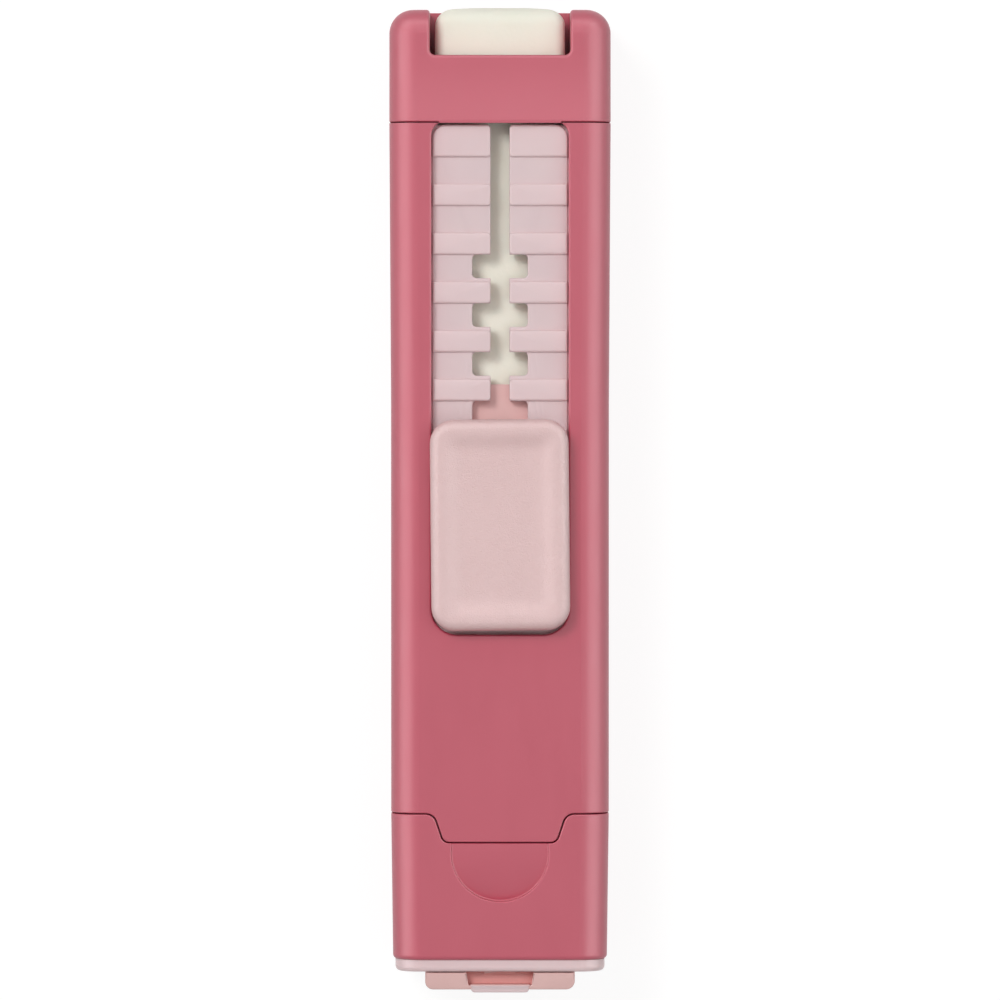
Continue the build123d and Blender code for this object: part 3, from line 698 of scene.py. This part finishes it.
def door_outline(recess):
    """Front view of the door, with the nail recess cut into its upper edge or not."""
    corners = [(-DOOR_HALF, DOOR_HIGH, 0.06), (-DOOR_HALF, DOOR_LOW, 0.72),
               (DOOR_HALF, DOOR_LOW, 0.8), (DOOR_HALF, DOOR_HIGH, 0.06)]
    if recess:
        corners += [(RECESS_MOUTH_HALF, DOOR_HIGH, 0.04), (RECESS_FLOOR_HALF, RECESS_FLOOR, 0.12),
                    (-RECESS_FLOOR_HALF, RECESS_FLOOR, 0.12), (-RECESS_MOUTH_HALF, DOOR_HIGH, 0.04)]
    return rounded_outline(corners)


lip_outline = rounded_outline([
    (-2.75, LIP_HIGH, 0.05), (-2.62, LIP_LOW, 0.34),
    (2.62, LIP_LOW, 0.34), (2.75, LIP_HIGH, 0.05),
])
latch_outline = rounded_outline([(-1.5, LATCH_LOW, 0), (1.5, LATCH_LOW, 0),
                                 (1.5, LATCH_HIGH, 0.1), (-1.5, LATCH_HIGH, 0.1)])
knuckle_outline = rounded_outline([
    (-KNUCKLE_HALF, KNUCKLE_LOW, 0.05), (KNUCKLE_HALF, KNUCKLE_LOW, 0.05),
    (KNUCKLE_HALF, KNUCKLE_HIGH, 0.05), (-KNUCKLE_HALF, KNUCKLE_HIGH, 0.05),
])
print("points round the door with its recess:", len(door_outline(True)))

# %% [markdown]
# ## Door and hinge pins
# The pins are rods along the hinge's axis, with a small chamfer at each end so that they
# snap into the ears. The thick one is the knuckle's rounded edge, and the thin one
# reaches into the ears on both sides. Then all the layers go into one piece.

# %% Door over the pencil hole
HINGE_STATION, HINGE_LEVEL = 1.055 - CENTRE, 1.475
KNUCKLE_RADIUS = 0.775
PIN_RADIUS, PIN_HALF = 0.5, 5.5


def pin_rod(radius, half_width, rim=0.08, sides=32):
    """Round rod along X on the hinge's axis, its ends chamfered."""
    rows = []
    for x, r in [(-half_width, radius - rim), (-half_width + rim, radius),
                 (half_width - rim, radius), (half_width, radius - rim)]:
        turns = [2 * math.pi * side / sides for side in range(sides)]
        rows.append([(x, HINGE_STATION + r * math.cos(t), HINGE_LEVEL + r * math.sin(t))
                     for t in turns])
    return skinned(rows)


door = joined("door", [  # each plate with its bottom, its top and its rim
    soft_plate(door_outline(False), 2.4, 12.9, 0.1),
    soft_plate(door_outline(True), 12.6, 14.2, 0.1),
    soft_plate(lip_outline, 11.8, 14.23, 0.12),
    soft_plate(latch_outline, 12.5, 13.1, 0.06),
    soft_plate(knuckle_outline, HINGE_LEVEL, 3.3, 0.05),
    pin_rod(KNUCKLE_RADIUS, KNUCKLE_HALF),
    pin_rod(PIN_RADIUS, PIN_HALF),
], door_shaded_pink, "door", "hole_door", slot="trim_pink")
print("door turns about station", round(HINGE_STATION + CENTRE, 3), "and level", HINGE_LEVEL)

# %% [markdown]
# ## Two more tones on the door
# The door and its lip are one pink plastic, given a shaded and a lit tone: the door a darker pink
# as painted shade under the base plate, and the lip the base's paler pink as painted light. The
# floor of the nail recess takes a darker salmon, which is painted shade in the recess. All are
# parts of the same moulding, so they stay in one mesh, and only their faces change material. The
# limits are given, just past the faces that should change.

# %% Tones of the lip and the recess
# The lip's faces take a painted-light tone, the recess's faces a painted-shade tone.
LIP_LIT_TONE, RECESS_SHADE_TONE = 1, 2  # places in the door's list of materials
LIP_REACH, LIP_STATION, LIP_LEVEL = 2.8, 0.6, 11.7
RECESS_REACH, RECESS_STATIONS, RECESS_LEVELS = 3.14, (0.6, 1.9), (12.8, 14.09)
door.data.materials.append(rail_pink)
door.data.materials.append(recess_painted_shade)
for face in door.data.polygons:
    x, station, level = (part / MM for part in face.center)
    station += CENTRE
    reach = max(abs(door.data.vertices[corner].co.x) for corner in face.vertices) / MM
    # Painted light: the lip's faces take the base's paler pink, the rest of the door keeps its
    # painted-shade pink.
    if reach < LIP_REACH and station < LIP_STATION and level > LIP_LEVEL:
        face.material_index = LIP_LIT_TONE
    # Painted shade: faces inside the nail recess take the darker salmon.
    across = abs(x) < RECESS_REACH
    along = RECESS_STATIONS[0] < station < RECESS_STATIONS[1]
    if across and along and RECESS_LEVELS[0] < level < RECESS_LEVELS[1]:
        face.material_index = RECESS_SHADE_TONE
recess_faces = [face for face in door.data.polygons if face.material_index == RECESS_SHADE_TONE]
print("faces of the recess:", len(recess_faces))

# %% [markdown]
# ## The frame's own pieces
# The sleeve, the cap, the bin and the base plate already have their true shape in the
# construction model, with every rim rounded, and so do the pieces inside. Building them
# again would only risk a difference, so they keep their meshes and take a finish.

# %% Dress the frame's own pieces
FINISH = {
    "body_sleeve": shell_red,
    "nose_cap": shell_red,
    "shavings_bin": shell_red,
    "base_plate": rail_pink,
    "button_stem": inner_plastic,
    "lock_spring": inner_plastic,
    "eraser_carrier": carrier_salmon,
    "sharpener_body": cast_alloy,
    "sharpener_blade": blade_steel,
    "blade_screw": blade_steel,
}
for name, finish in FINISH.items():
    nodes[name].data.materials.clear()
    nodes[name].data.materials.append(finish)
print("dressed:", len(FINISH), "pieces")
